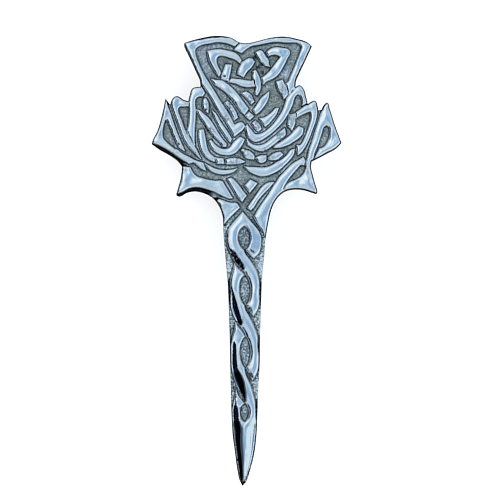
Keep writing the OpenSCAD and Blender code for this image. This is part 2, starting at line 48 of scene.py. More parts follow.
# How finely the casting is drawn
RASTER = 0.05              # pitch of the distance fields
REACH = 3.2                # distances past this aren't told apart
EDGE_STEP = 0.13           # spacing of the points along an edge
FILL_STEP = 0.18           # spacing of the points between the edges
CLEAR = 0.07               # least room between a fill point and an edge or the rim
LINE_ERROR = 0.025         # how true to its distance a line beside an edge has to be
OUTLINE_GRID = 1e4         # outline points are told apart to this part of a millimetre
LEAST_STEP = 0.08          # and made one where they are nearer than this
SURE_CORNER = 55           # a turn over this, in degrees, is kept as a corner; one over the
CORNER = 34                # next is, where the turns beside it are under a share of it
CORNER_ALONE = 0.6
TOP_LINES = (0.12, 0.36)   # lines drawn this far inside a strand's edge
WALL_LINES = (-0.1, -0.2)  # and this far outside it

# Shares of the part's box, as in its construction: the neck's height above the
# tip, and the lengths that stand for the whole shaft and the whole head
NECK_SHARE = 0.6167
SHAFT_SHARE = 0.618
HEAD_SHARE = 0.3788

# Colour of the metal from polished, 0, to black, 1; the dark comes with age and, in places, from
# painted shade
TONES = [(0, (0.80, 0.83, 0.86)), (0.25, (0.46, 0.465, 0.44)), (0.45, (0.26, 0.285, 0.285)),
         (0.62, (0.135, 0.19, 0.235)), (0.8, (0.055, 0.085, 0.11)), (1, (0.006, 0.01, 0.014))]
HEAD_GRAINS = 0.8   # how much lighter and darker the grains are on the head,
STRIP_GRAINS = 2.1  # in the strips along the shaft and in its eyes
EYE_GRAINS = 1.5

# The strands' section. A pair is the value on the head and the one on the shaft
EDGE_DROP = (0.26, 0.5)   # a strand's edge lies this far under its flat top
EDGE_RISE = (0.26, 0.25)  # the rise over the rounded edge
EDGE_ROUND = 0.12         # how quickly the edge rounds over
CROWN = (0.12, 0.5)       # rise from there to the middle of a strand
CROWN_REACH = (0.6, 1.2)  # and how slowly it comes
RIDGE_BLUR = 0.22         # how far a ridge in the middle of a strand is smoothed
NECK_ZONE = (1, -3)       # from head to shaft, over the neck
WAVE_EDGE = 0.3           # waves come in over this width from a strand's edge

# Noises: height, or strength, width of the cells, and seed
GRAIN = (1, 0.36, 7)          # the stipple's pattern, scaled where it is used
WAVE = (0.035, 2.6, 3)
FINE_WAVE = (0.006, 0.9, 4)
STREAKS = (0.026, 1, 6)       # along the strands' edges
STREAK_WIDTH = 0.42           # the width of a streak, and how many cells there are to
STREAK_RATE = 0.18            # the millimetre, up and to the right
STREAK_BEND = (1.5, 5, 5)
BLADE_LINES = (0.045, 1, 14)  # along the blade, in cells of this width and length
BLADE_CELL = (0.5, 7)
PIT_RAGGED = (0.3, 0.4, 12)
WORN_RAGGED = (0.35, 0.7, 16)
GROUND_CLOUD = (0.06, 3.1, 11)
TINT_CLOUD = (0.35, 2.4, 13)
BACK_RIPPLE = (0.02, 2.5, 8)

# The walls, the ground and the aprons, which are walls that lean out to the rim and are painted
# black as shadow
FOOT = 0.2                   # how far a wall leans out, from its top to its foot
STIPPLE = (0.05, 0.1)        # depth of the stipple on the head and on the shaft
STIPPLE_ZONE = (0.7, 1.8)    # in shares of FOOT
APRON_WIDTH = (1.25, 0.3)    # ledges narrower than this are aprons, on head and shaft
APRON_BLUR = 0.15
APRON_CURVE = 1.2
RIM_DROP = 0.75              # an apron's rim lies this far under the ground
RIM_LINE = (0.12, 0.34)      # the line of painted shade along the rim fades out between these, inwards,
RIM_LINE_FOOT = (0.25, 0.5)  # and away from a strand
RIM_LINE_DEPTH = 0.25
WEDGE_WIDTH = 0.3            # how much wider and deeper a black stretch of it is
WEDGE_DEPTH = 0.15

# The back
BACK_BEVEL = 0.08
BEVEL_ERROR = 0.015  # the bevel is left out where its line would be off by this
BACK_STEP = 0.9      # spacing of the points on the back
BACK_ROW = 0.87      # and of their rows, as a share of it

# How dark the metal is, from 0, polished, to 1, black
GROUND_TONE = 0.29
STRIP_TONE = 0.15          # the ground of the strips along the shaft
EYE_TONE = 0.3             # and of the shaft's eyes,
EYE_ZONE = (1, 1.8)        # which lie this far inside the rim
FOOT_PAINTED_SHADE = 0.51           # painted shade on the ground at the foot of a wall
FOOT_ZONE = (0.6, 2.8)     # it goes over to the ground's, in shares of FOOT
FOOT_SIDES = (0.75, 1.35)  # and reaches less at walls that face up and left, a painted shadow
BESIDE_PAINTED_SHADE = 0.08         # a weaker painted shade beside the walls
BESIDE_ZONE = (0.3, 1.1)
BESIDE_SHAFT = 0.5         # weaker by this on the shaft
SHADY_SIDE = (-0.6, 0.8)   # direction up the walls with the wider painted shade at their foot
EDGE_ZONE = 0.09           # the ground's dark comes in over this width
RIM_PAINTED_SHADE = 0.8             # painted shade on the strands against the rim
DENT_PAINTED_SHADE = 0.55
PIT_TONE = 0.8
TIP_ZONE = (1.5, 0.7)      # black end of the shaft, over the tip
BACK_TONE = 0.22
SIDE_TONE = 0.4

# Steep flanks on the left of the shaft's strands, each by points along its middle:
# percent of the half width, percent of the shaft under the neck, half width, and how
# far its painted shade goes on to its right, or 0 where it has none
FLANK_SLOPE = 0.56
FLANKS = [
    [(-16.4, 14.4, 0, 0.3), (-14.4, 16.1, 0.46, 0.3), (-11.4, 17.6, 0.54, 0.3),
     (-8.5, 19.3, 0.54, 0.3), (-5.9, 20.4, 0.46, 0.3), (-3.8, 21.5, 0.3, 0.3),
     (-2, 22.8, 0, 0.3)],
    [(-15.2, 28, 0, 0), (-13.8, 31.3, 0.36, 0), (-12.7, 33.7, 0.58, 0),
     (-11.5, 36.2, 0.72, 0), (-10.1, 38, 0.76, 0), (-8.4, 39.4, 0.68, 0),
     (-6.3, 41.1, 0.36, 0.3), (-5, 42.6, 0, 0.3)],
    [(-13.2, 46.5, 0, 0), (-12.6, 49, 0.46, 0), (-12.6, 53.8, 0.56, 0),
     (-12.1, 57.5, 0.66, 0), (-9.8, 60.4, 0.96, 0.3), (-7.2, 63, 1, 0.4),
     (-4.6, 66.6, 0.72, 0.5), (-1.2, 70.5, 0, 0.5)],
    [(-11.6, 68, 0, 0), (-11.2, 72.3, 0.64, 0), (-10.8, 75.9, 0.7, 0),
     (-9.4, 79.3, 0.72, 0.75), (-9.2, 83, 0.56, 1), (-8.4, 86.7, 0.54, 0.95),
     (-7.3, 90.2, 0.52, 0.7), (-6.5, 93.8, 0.48, 0.5), (-5.3, 96.7, 0.36, 0.3),
     (-4.6, 99, 0, 0.2)],
]
FLANK_LOW = -0.4               # no flank goes lower than this over the plate
FLANK_PAINTED_SHADE = 0.93              # how dark a flank's painted shade is
FLANK_FADE = (0.05, 0.35)      # past its left edge
FLANK_GRAIN = 0.07             # the first flank is rough, and its painted shade mottled
FLANK_MOTTLE = 0.45
FIRST_FLANK_ZONE = (-22, -18)  # over the neck
HELD_CROWN = 1.2               # on a flank a strand's crown and its edge are as if the
HELD_EDGE = 0.6                # edge lay this much farther out
FLANK_THIN = 0.25              # a flank fades out where its half width is under this
FLANK_START = -0.4             # it takes hold between this and its right edge
SHADE_REACH_ZONE = (-1, -0.3)        # its painted shade on the right, in shares of how far that goes,
SHADE_REACH_THIN = (0.02, 0.2)       # and only where that is over these
ROUGH_FALL = (0.1, 0.3)        # the first flank gets rough as it falls by these

# The blade under the last eye: its ridge, by the same two shares, and the fall to its right
RIDGE = [(-1, 76), (-3, 84), (-3.4, 92), (-4.6, 98)]
RIDGE_FALL = 0.33
RIDGE_ROUND = 0.3
RIDGE_START = (1, -2)  # over the ridge's upper end
BLADE_ZONE = (15, 11)  # lines and a flatter crown, over the tip
BLADE_FLATTER = 0.5

# Places that lean to the right, or to the left where the lean is under 0: the two
# shares, the radius in millimetres and the lean
HEAD_TILTS = [
    (-34, 88, 1, 0.2), (-57, 95, 0.8, 0.15), (-1, 83, 0.9, 0.15), (-18, 70, 1.2, 0.15),
    (38, 91, 1.1, 0.28), (56, 86, 1.1, 0.28), (28, 81, 0.9, 0.18), (11, 74, 0.9, 0.18),
    (-74, 62, 0.9, 0.2), (-84, 56, 0.9, 0.2), (-92, 43, 1, 0.15), (-5, 62, 0.9, 0.15),
    (17, 63, 0.8, 0.15), (-67, 22, 1.2, 0.28), (-62, 17, 1, 0.2), (65, 23, 1.2, 0.28),
    (68, 16, 1.1, 0.28), (53, 16, 1, 0.2), (82, 39, 1.1, 0.2), (90, 43, 0.9, 0.2),
    (80, 54, 0.9, -0.2), (-49, 19, 1.4, -0.2), (-27, 3, 1.1, -0.12),
]
SHAFT_TILTS = [
    (15, 4.3, 1.6, 0.16), (8.2, 8, 1.8, 0.12), (8.4, 11, 1.8, 0.13),
    (8.8, 13.8, 1.8, 0.12), (11, 30.5, 1.3, 0.16), (-13, 9.7, 1.6, -0.08),
]
LEAN_TOWARDS = np.array([1, -0.22])

# Places on the shaft where the crown is flatter: the two shares, the radius and the amount
FLATS = [(7.6, 8.5, 1.2, 0.55), (8.2, 11, 1.3, 0.6), (9, 13.5, 1.2, 0.6),
         (-9.4, 46.2, 1.3, 0.7), (-8.8, 69.2, 1, 0.6)]

# Casting pits on the head: percent of the half width, percent of the head over the neck,
# and the radius
PITS = [(-24, 77, 0.35), (-43.6, 57.3, 0.3), (-40.5, 45.6, 0.28), (-71.2, 37.4, 0.3),
        (13, 83, 0.75), (16.5, 79.5, 0.5), (7.8, 87.7, 0.6)]
PIT_DEPTH = 0.3
PIT_EDGE = (0.2, 1.3)  # in shares of the radius

# Dents where a strand dips under another, darkened with painted shade: the same two
# shares, the half length and half width, and the angle of the length
DENTS = [(5.7, 15.4, 0.9, 0.35, -38), (2.6, 36.4, 0.95, 0.6, -58), (4.4, 60, 1.3, 0.6, -60)]
DENT_DEPTH = 0.3
DENT_GRAIN = 0.05
DENT_EDGE = (0.35, 1)  # in shares of the size

# Edges of strands that stand farther out: the two shares of the head, the radius, and
# how far to the right and up
PUSHES = [
    (19.3, 86, 0.8, 0.45, 0), (14, 87.7, 1.3, -0.5, -0.1),
    (8.8, 74.9, 1.3, -0.5, 0), (33.4, 71.3, 1.3, -0.4, 0),
    (2.5, 65.5, 0.9, 0.2, 0.15), (2.5, 31.3, 1.2, 0.28, 0.28), (2.5, 31.3, 1.2, -0.28, -0.28),
    (15.1, 28.6, 0.9, 0.25, 0), (15.1, 28.6, 0.9, -0.25, 0), (15.1, 28.6, 0.9, 0, 0.2),
    (15.1, 28.6, 0.9, 0, -0.2), (29.2, 30.7, 1.2, -0.1, 0.25), (29.2, 30.7, 1.2, 0.1, -0.25),
    (10.4, 47.9, 1.2, 0.2, 0.2), (10.4, 47.9, 1.2, -0.2, -0.2), (45, 49.1, 0.9, -0.3, -0.1),
    (-18.8, -13.5, 1.3, -0.2, 0), (-19.5, -20.5, 1.3, -0.2, 0),
    (-27, -1.5, 1.2, -0.22, -0.05), (-25.5, -6.5, 1.2, -0.2, 0),
    (36, 32, 0.9, 0.42, 0.18), (-2.5, 33.5, 0.8, -0.3, 0.2),
    (20.5, 29.8, 0.7, 0.2, 0.1), (9.8, 29.8, 0.7, -0.2, 0.1),
]

# Channels at the rim that aren't black: the two shares of the head and the radius
LIGHT_RIMS = [(-81, 58, 1.3), (-77, 51, 1.3), (-72, 43, 1.3), (-67, 36, 1.2),
              (75, 57, 1.3), (70, 43, 1.3), (67, 34, 1.2), (72, 50, 1.2)]
LIGHT_RIM_EDGE = (0.6, 1.1)  # in shares of the radius

# Channels on the head that get narrower than the second of these half widths, and most
# under the first, are shallower, lighter, cooler and less grainy
NARROW = (0.3, 0.75)
NARROW_FLOOR = 0.4   # the height of their ground, as a share of the wall's
NARROW_LIGHTER = 0.21
NARROW_COOLER = 0.6
NARROW_SMOOTHER = 0.6
NARROW_FOOT = 0.35   # how much less the painted shade at the foot of a wall reaches
CHANNEL_REACH = 0.6  # a half width is the most distance to a strand this near,
CHANNEL_BLUR = 0.3   # smoothed over this

# Places where the strands are dull and mottled: the two shares of the head and the radius
WORN = [(-16.4, 59.7, 1.9), (23.5, 31.6, 1.9), (-3.8, 32.8, 1.6), (46.5, 51.5, 1.6),
        (-12.2, 27.5, 1.6), (2.5, 64.3, 1.2), (10.9, 48, 1.2), (-43.6, 59.7, 1.2),
        (-37.3, 44.4, 1.3), (38.2, 69, 1.1), (36, 42.1, 1.3), (-22, 52, 1.3)]
WORN_TONE = 0.24
WORN_GRAIN = 0.03
WORN_EDGE = (0.5, 1)  # in shares of the radius
WORN_MARGIN = 0.15    # none is worn right at a strand's edge
WORN_EVEN = 0.6       # the even part of its dark; the grain is the rest

# Stretches of the shaft's rim in black painted shadow: the side, 1 right and -1 left, and percent
# of the shaft from and to
WEDGES = [(1, 20, 35), (1, 44, 53), (1, 64, 76), (-1, 22, 36), (-1, 43, 49)]

# Where the head's rim has a black band of painted shadow, up to 1, or no dark line at all,
# down to -1: the two shares of the head, the radius and the amount
RIM_MARKS = [(-54, 98.5, 1.8, 0.5), (-40, 100, 2.2, 0.9), (-27, 100, 1.6, 0.7), (30, 100, 1.8, 0.4),
             (43, 99, 1.8, 0.5), (57, 97.5, 1.8, 0.5), (-27, -3, 1.6, -0.9), (-25, -8, 1.5, -0.9),
             (23, -4, 1.8, -0.6), (20.5, -11, 1.8, -0.6)]

# How the ground is tinted, from -1, cool and lighter, to 1, warm and darker: the two
# shares of the head, the radius and the tint
TINTS = [(-38, 90, 3.6, -0.9), (-52, 72, 2.6, -0.5), (2, 80, 3, 1), (-22, 86, 1.4, 0.8),
         (30, 86, 1.2, 0.7), (30, 60, 3.4, 0.5), (-72, 50, 1.6, 0.9), (-58, 58, 1.4, 0.9),
         (58, 56, 1.4, 0.9), (-86, 30, 1.3, 0.6), (86, 30, 1.3, 0.6), (0, 8, 2.4, 0.8),
         (-44, 12, 2, 0.6), (48, 12, 1.6, 0.7), (-14, 34, 4, 0.2), (42, 80, 1.8, -0.9)]
TINT_TONE = 0.12              # how much darker the warm ground is
EYE_TINT = -0.35              # the tint of the shaft's eyes
WARM = (1, 0.91, 0.8)
COOL = (0.94, 0.98, 1.12)
SHADED = (0.05, 0.055, 0.07)  # what a flank's painted shade does to the metal's colour

# Places on the shaft where the ground is darker, or lighter under 0: the two shares, the
# radius and the amount
STRIP_SHADES = [(-18, 40, 2.6, 0.2), (-18, 45, 1.8, 0.2), (-14, 62.5, 2.4, 0.24),
                (0, 2, 2.6, 0.14), (0, 10.5, 2.6, 0.1), (22, 21, 2.4, -0.08),
                (-20, 20, 2.4, -0.05)]


def fade(low, high, value):
    """From 0 at low to 1 at high, with smooth ends."""
    t = np.clip((value - low) / (high - low), 0, 1)
    return t * t * (3 - 2 * t)


def blend(a, b, t):
    return a + (b - a) * t


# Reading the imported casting
def mesh_arrays(obj):
    """Points in millimetres and triangles of a mesh object."""
    mesh = obj.data
    mesh.calc_loop_triangles()
    points = np.empty(len(mesh.vertices) * 3)
    mesh.vertices.foreach_get("co", points)
    triangles = np.empty(len(mesh.loop_triangles) * 3, dtype=np.int32)
    mesh.loop_triangles.foreach_get("vertices", triangles)
    return points.reshape(-1, 3) / MM, triangles.reshape(-1, 3)


def open_edges(triangles):
    """The edges that only one of the triangles has."""
    edges = set()
    for a, b, c in triangles:
        edges.update(((a, b), (b, c), (c, a)))
    return [(a, b) for a, b in edges if (b, a) not in edges]


def level_loops(points, triangles, z):
    """Outlines of the flat faces at height z, as lists of x, y."""
    flat = np.all(np.abs(points[triangles][:, :, 2] - z) < 1e-3, axis=1)
    keys = [tuple(k) for k in np.round(points[:, :2] * OUTLINE_GRID).astype(int)]
    follow = {}
    for a, b in sorted(open_edges([[keys[i] for i in tri] for tri in triangles[flat]])):
        follow.setdefault(a, []).append(b)
    loops = []
    while follow:
        here = next(iter(follow))
        loop = []
        while here in follow:
            loop.append(here)
            there = follow[here].pop()
            if not follow[here]:
                del follow[here]
            here = there
        loops.append(np.array(loop) / OUTLINE_GRID)
    return loops


def steps_beside(loop):
    """The steps from the point before to each point of a closed loop, and to the next."""
    return loop - np.roll(loop, 1, axis=0), np.roll(loop, -1, axis=0) - loop


def turn_angles(loop):
    """Turn of a closed loop at each of its points, in degrees."""
    before, after = steps_beside(loop)
    cross = before[:, 0] * after[:, 1] - before[:, 1] * after[:, 0]
    return np.degrees(np.arctan2(cross, (before * after).sum(axis=1)))


def smooth_loop(loop):
    """The loop again as a smooth curve with its corners kept, in even steps."""
    kept = [loop[0]]
    for p in loop[1:]:
        if np.hypot(*(p - kept[-1])) > LEAST_STEP:
            kept.append(p)
    loop = np.array(kept)
    turn = np.abs(turn_angles(loop))
    beside = np.maximum(np.roll(turn, 1), np.roll(turn, -1))
    corner = (turn > CORNER) & ((beside < CORNER_ALONE * turn) | (turn > SURE_CORNER))
    before, after = steps_beside(loop)
    len_before = np.hypot(*before.T)[:, None]
    len_after = np.hypot(*after.T)[:, None]
    lean = before / len_before * len_after + after / len_after * len_before
    lean /= np.maximum(np.hypot(*lean.T), 1e-9)[:, None]
    out = []
    for i, a in enumerate(loop):
        j = (i + 1) % len(loop)
        b = loop[j]
        chord = b - a
        length = np.hypot(*chord)
        ma = lean[i] * length
        mb = lean[j] * length
        if corner[i] and corner[j]:
            ma = mb = chord
        elif corner[i]:
            ma = 1.5 * chord - 0.5 * mb
        elif corner[j]:
            mb = 1.5 * chord - 0.5 * ma
        count = max(1, round(length / EDGE_STEP))
        t = (np.arange(count) / count)[:, None]
        out.append((2 * t**3 - 3 * t**2 + 1) * a + (t**3 - 2 * t**2 + t) * ma
                   + (3 * t**2 - 2 * t**3) * b + (t**3 - t**2) * mb)
    return np.vstack(out)


class Raster:
    """A raster over the part that holds distances to closed loops."""

    def __init__(self, low, high):
        self.low = np.array(low) - 1
        self.size = np.ceil((np.array(high) + 1 - self.low) / RASTER).astype(int) + 1
        self.x = self.low[0] + RASTER * np.arange(self.size[0])
        self.y = self.low[1] + RASTER * np.arange(self.size[1])

    def signed(self, loops):
        """Distance to the nearest loop, positive inside the loops."""
        field = np.full((self.size[1], self.size[0]), REACH**2)
        crossings = [[] for _ in self.y]
        for loop in loops:
            for p, q in zip(loop, np.roll(loop, -1, axis=0)):
                self.stamp(field, p, q)
                self.cross(crossings, p, q)
        inside = np.zeros(field.shape, dtype=bool)
        for row, xs in enumerate(crossings):
            if xs:
                inside[row] = np.searchsorted(np.sort(xs), self.x) % 2 == 1
        return np.where(inside, 1, -1) * np.sqrt(field)

    def stamp(self, field, p, q):
        """Lower the squared distances round one straight piece of a loop."""
        low = (np.minimum(p, q) - REACH - self.low) / RASTER
        high = (np.maximum(p, q) + REACH - self.low) / RASTER
        x0, y0 = np.maximum(low.astype(int), 0)
        x1, y1 = np.minimum(high.astype(int) + 2, self.size)
        dx = self.x[x0:x1][None, :] - p[0]
        dy = self.y[y0:y1][:, None] - p[1]
        ex, ey = q - p
        along = np.clip((dx * ex + dy * ey) / (ex * ex + ey * ey + 1e-12), 0, 1)
        patch = field[y0:y1, x0:x1]
        np.minimum(patch, (dx - along * ex) ** 2 + (dy - along * ey) ** 2, out=patch)

    def cross(self, crossings, p, q):
        """Note where the piece crosses each row of the raster."""
        low, high = (p, q) if p[1] < q[1] else (q, p)
        first = math.ceil((low[1] - self.low[1]) / RASTER)
        last = math.ceil((high[1] - self.low[1]) / RASTER)
        for row in range(first, last):
            t = (self.y[row] - low[1]) / (high[1] - low[1])
            crossings[row].append(low[0] + t * (high[0] - low[0]))

    def sample(self, field, points):
        """Values of a field at points, blended between the raster's own."""
        at = np.clip((points - self.low) / RASTER, 0, self.size - 1.001)
        cell = at.astype(int)
        fx, fy = (at - cell).T
        cx, cy = cell.T
        return ((field[cy, cx] * (1 - fx) + field[cy, cx + 1] * fx) * (1 - fy)
                + (field[cy + 1, cx] * (1 - fx) + field[cy + 1, cx + 1] * fx) * fy)


def lattice_noise(points, cell, seed):
    """Smooth noise from -1 to 1 with grains about one cell wide."""
    table = np.random.default_rng(seed).uniform(-1, 1, (257, 257))
    total = np.zeros(len(points))
    for turn in (0.4, 1.1, 1.9):
        spin = np.array([[math.cos(turn), -math.sin(turn)], [math.sin(turn), math.cos(turn)]])
        at = points @ spin / cell + 100 * turn
        base = np.floor(at).astype(int)
        fx, fy = (fade(0, 1, at - base)).T
        bx, by = (base % 256).T
        total += blend(blend(table[by, bx], table[by, bx + 1], fx),
                       blend(table[by + 1, bx], table[by + 1, bx + 1], fx), fy)
    return total / math.sqrt(3)


def noise_of(points, noise):
    """A noise at points, from its height, the width of its cells and its seed."""
    height, cell, seed = noise
    return height * lattice_noise(points, cell, seed)


def blurred(field, reach):
    """The field smoothed over a reach in millimetres."""
    half = max(1, round(reach / RASTER))
    for axis in (0, 1, 0, 1):
        margin = [(half + 1, half) if a == axis else (0, 0) for a in (0, 1)]
        total = np.cumsum(np.pad(field, margin, mode="edge"), axis=axis)
        count = field.shape[axis]
        ahead = np.take(total, np.arange(count) + 2 * half + 1, axis=axis)
        behind = np.take(total, np.arange(count), axis=axis)
        field = (ahead - behind) / (2 * half + 1)
    return field


def highest(field, reach):
    """The field's highest value within a reach in millimetres."""
    for axis in (0, 1):
        best = field.copy()
        for step in range(1, round(reach / RASTER) + 1):
            for shift in (-step, step):
                np.maximum(best, np.roll(field, shift, axis=axis), out=best)
        field = best
    return field


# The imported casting's measures
packed_points, packed_triangles = mesh_arrays(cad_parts["casting"])
back_z = packed_points[:, 2].min()
top_z = packed_points[:, 2].max()
face_z = np.unique(np.round(packed_points[:, 2], 3))[1]
relief_h = top_z - face_z
box_low = packed_points[:, :2].min(axis=0)
box_high = packed_points[:, :2].max(axis=0)
half_width = (box_high[0] - box_low[0]) / 2
whole_length = box_high[1] - box_low[1]
head_length = HEAD_SHARE * whole_length
shaft_length = SHAFT_SHARE * whole_length
tip_y = box_low[1]
neck_y = tip_y + NECK_SHARE * whole_length


def on_head(share_x, share_y):
    """Place on the head from percent of the half width and of the head's height."""
    return np.array([share_x / 100 * half_width, neck_y + share_y / 100 * head_length])


def on_shaft(share_x, share_y):
    """Place on the shaft from percent of the half width and of the shaft's length."""
    return np.array([share_x / 100 * half_width, neck_y - share_y / 100 * shaft_length])


def distance_to(points, place):
    return np.hypot(*(points - place).T)


def soft_spot(points, place, radius):
    """A round spot at each point, from 1 in its middle to 0."""
    return np.exp(-((points - place) ** 2).sum(axis=1) / radius ** 2)


def broad_spot(points, place, radius):
    """The same with a flatter middle and a quicker fall."""
    return np.exp(-(((points - place) ** 2).sum(axis=1) / radius ** 2) ** 2)


def zone(points, base, ends):
    """From 0 to 1 between two heights on the part, given over a base."""
    return fade(base + ends[0], base + ends[1], points[:, 1])


def outward(loop):
    """Unit normals of a closed loop, to the right of its direction."""
    along = np.roll(loop, -1, axis=0) - np.roll(loop, 1, axis=0)
    along /= np.maximum(np.hypot(*along.T), 1e-9)[:, None]
    return np.stack([along[:, 1], -along[:, 0]], axis=1)


def pushed(loop):
    """The loop with the edges of PUSHES moved out."""
    facing = outward(loop)
    moved = loop.copy()
    for x, y, radius, right, up in PUSHES:
        step = np.array([right, up])
        share = np.clip(facing @ step / np.hypot(*step), 0, 1)
        share *= broad_spot(loop, on_head(x, y), radius)
        moved += share[:, None] * step
    return moved


def outlines(z):
    """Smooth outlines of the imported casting's flat faces at height z."""
    return [smooth_loop(loop) for loop in level_loops(packed_points, packed_triangles, z)]


# The casting's outlines, and the fields of the distances to them
raster = Raster(box_low, box_high)
relief_loops = [pushed(loop) for loop in outlines(top_z)]
plate_loops = [loop[::-1] for loop in outlines(back_z)]
to_strand = raster.signed(relief_loops)
to_rim = raster.signed(plate_loops)
to_strand_soft = blurred(to_strand, RIDGE_BLUR)
channel_width = blurred(highest(-to_strand, CHANNEL_REACH), CHANNEL_BLUR)


# The casting's flat drawing: its edges, the lines beside them and the points between
def within(points, loop):
    """Which points lie inside a closed loop."""
    x, y = points.T
    hits = np.zeros(len(points), dtype=int)
    for (ax, ay), (bx, by) in zip(loop, np.roll(loop, -1, axis=0)):
        if ay != by:
            span = (y >= min(ay, by)) & (y < max(ay, by))
            hits += span & (x < ax + (y - ay) / (by - ay) * (bx - ax))
    return hits % 2 == 1


def inside_rim(points):
    """Which points lie inside the plate's outline, also hard against it."""
    rim = raster.sample(to_rim, points)
    inside = rim > 0
    close = np.flatnonzero(np.abs(rim) < 3 * RASTER)
    inside[close] = np.logical_xor.reduce([within(points[close], loop) for loop in plate_loops])
    return inside


def filling(step, row_share):
    """Points over the part's box in rows, each shifted by half a step from the last."""
    gx, gy = np.meshgrid(np.arange(box_low[0], box_high[0], step),
                         np.arange(box_low[1], box_high[1], step * row_share))
    gx[1::2] += step / 2
    return np.stack([gx.ravel(), gy.ravel()], axis=1)


def add_line(points, links, line, keep):
    """Add a closed line's kept points, linked wherever two in a row are kept."""
    index = np.cumsum(keep) - 1 + len(points)
    points.extend(line[keep])
    for i in range(len(line)):
        j = (i + 1) % len(line)
        if keep[i] and keep[j]:
            links.append((int(index[i]), int(index[j])))


def flat_drawing():
    """Points and triangles of the casting's face, seen from above."""
    points, links = [], []
    for loop in plate_loops:
        add_line(points, links, loop, np.ones(len(loop), bool))
    for loop in relief_loops:
        add_line(points, links, loop, np.ones(len(loop), bool))
        for level in TOP_LINES + WALL_LINES:
            line = loop - outward(loop) * level
            true = np.abs(raster.sample(to_strand, line) - level) < LINE_ERROR
            add_line(points, links, line, true & (raster.sample(to_rim, line) > CLEAR))
    fill = filling(FILL_STEP, math.sqrt(3) / 2)
    strand = raster.sample(to_strand, fill)
    clear = raster.sample(to_rim, fill) > CLEAR
    for level in (0,) + TOP_LINES + WALL_LINES:
        clear &= np.abs(strand - level) > CLEAR
    points.extend(fill[clear])
    drawn = delaunay_2d_cdt([Vector(p) for p in points], links, [], 0, 1e-5, False)
    flat = np.array([tuple(p) for p in drawn[0]])
    faces = np.array(drawn[2])
    return flat, faces[inside_rim(flat[faces].mean(axis=1))].tolist()


# What the tables at the top do at each point of the face
def ragged_spots(points, spots, edge, ragged):
    """How much of a ragged spot each point has, from 0 to 1; its edge is in radii."""
    shift = noise_of(points, ragged)
    shares = []
    for x, y, radius in spots:
        away = distance_to(points, on_head(x, y)) + shift
        shares.append(1 - fade(edge[0] * radius, edge[1] * radius, away))
    return np.maximum.reduce(shares)


def blade_fall(points):
    """How far the blade falls away to the right of its ridge."""
    at = np.array([on_shaft(x, y) for x, y in RIDGE])[::-1]
    ridge_x = np.interp(points[:, 1], at[:, 1], at[:, 0])
    right = np.maximum(points[:, 0] - ridge_x, 0)
    fall = RIDGE_FALL * (np.hypot(right, RIDGE_ROUND) - RIDGE_ROUND)
    return zone(points, at[-1, 1], RIDGE_START) * fall


def wedge_share(points):
    """How much of a black stretch of the rim each point has, from 0 to 1."""
    share = np.zeros(len(points))
    for side, start, end in WEDGES:
        high, low = on_shaft(0, start)[1], on_shaft(0, end)[1]
        t = np.clip((high - points[:, 1]) / (high - low), 0, 1)
        share = np.maximum(share, np.sin(math.pi * t) * (points[:, 0] * side > 0))
    return share


def spots_of(points, place_of, spot, table):
    """Each round spot of a table at each point, times its amount."""
    return [amount * spot(points, place_of(x, y), radius) for x, y, radius, amount in table]


def tilt_height(points):
    """Rise and fall of the places that lean a little."""
    rise = np.zeros(len(points))
    for place_of, tilts in ((on_head, HEAD_TILTS), (on_shaft, SHAFT_TILTS)):
        for x, y, radius, lean in tilts:
            place = place_of(x, y)
            rise -= lean * ((points - place) @ LEAN_TOWARDS) * soft_spot(points, place, radius)
    return rise


def dent_share(points):
    """How much of a dent each point has, from 0 to 1."""
    share = np.zeros(len(points))
    for x, y, long, wide, angle in DENTS:
        turn = math.radians(angle)
        rel = points - on_shaft(x, y)
        a = rel @ np.array([math.cos(turn), math.sin(turn)]) / long
        b = rel @ np.array([-math.sin(turn), math.cos(turn)]) / wide
        share = np.maximum(share, 1 - fade(*DENT_EDGE, np.hypot(a, b)))
    return share


def flank_piece(points, p, q, start, end):
    """Distance to one piece of a flank's middle line, and there the fall, how much of the
    flank each point has, and how dark its painted shade is."""
    along = q - p
    length = np.hypot(*along)
    along /= length
    rel = points - p
    t = np.clip(rel @ along / length, 0, 1)
    away = rel - np.outer(t * length, along)
    wide = blend(start[0], end[0], t)
    shade_reach = np.maximum(blend(start[1], end[1], t), 0.01)
    left = away @ np.array([along[1], -along[0]])
    from_right = left + wide
    share = np.clip(from_right / np.maximum(2 * wide, 1e-6), 0, 1)
    near = 1 - fade(wide + FLANK_FADE[0], wide + FLANK_FADE[1], left)
    body = fade(0, FLANK_THIN, wide) * near
    fall = FLANK_SLOPE * 2 * wide * share * near
    part = fade(FLANK_START, 0, from_right) * body
    # painted shade, reaching past the flank's right edge
    painted_shade = fade(*SHADE_REACH_ZONE, from_right / shade_reach) * fade(*SHADE_REACH_THIN, shade_reach)
    return np.hypot(*away.T), np.stack([fall, part, FLANK_PAINTED_SHADE * painted_shade * body])


def flank_shares(points):
    """How far the steep flanks lower the strands, how much of one each point has, and
    how dark its painted shade is there."""
    most = np.zeros((3, len(points)))
    for flank in FLANKS:
        at = [on_shaft(x, y) for x, y, _, _ in flank]
        nearest = np.full(len(points), np.inf)
        here = np.zeros((3, len(points)))
        for p, q, start, end in zip(at, at[1:], flank, flank[1:]):
            distance, values = flank_piece(points, p, q, start[2:], end[2:])
            closer = distance < nearest
            nearest[closer] = distance[closer]
            here[:, closer] = values[:, closer]
        most = np.maximum(most, here)
    return most


def wall_side(points):
    """From 0 at walls that face up and left to 1 at walls that face down and right."""
    slopes = []
    for step in ([2 * RASTER, 0], [0, 2 * RASTER]):
        ahead = raster.sample(to_strand, points + step)
        slopes.append(ahead - raster.sample(to_strand, points - step))
    length = np.maximum(np.hypot(*slopes), 1e-6)
    return 0.5 + 0.5 * (SHADY_SIDE[0] * slopes[0] + SHADY_SIDE[1] * slopes[1]) / length


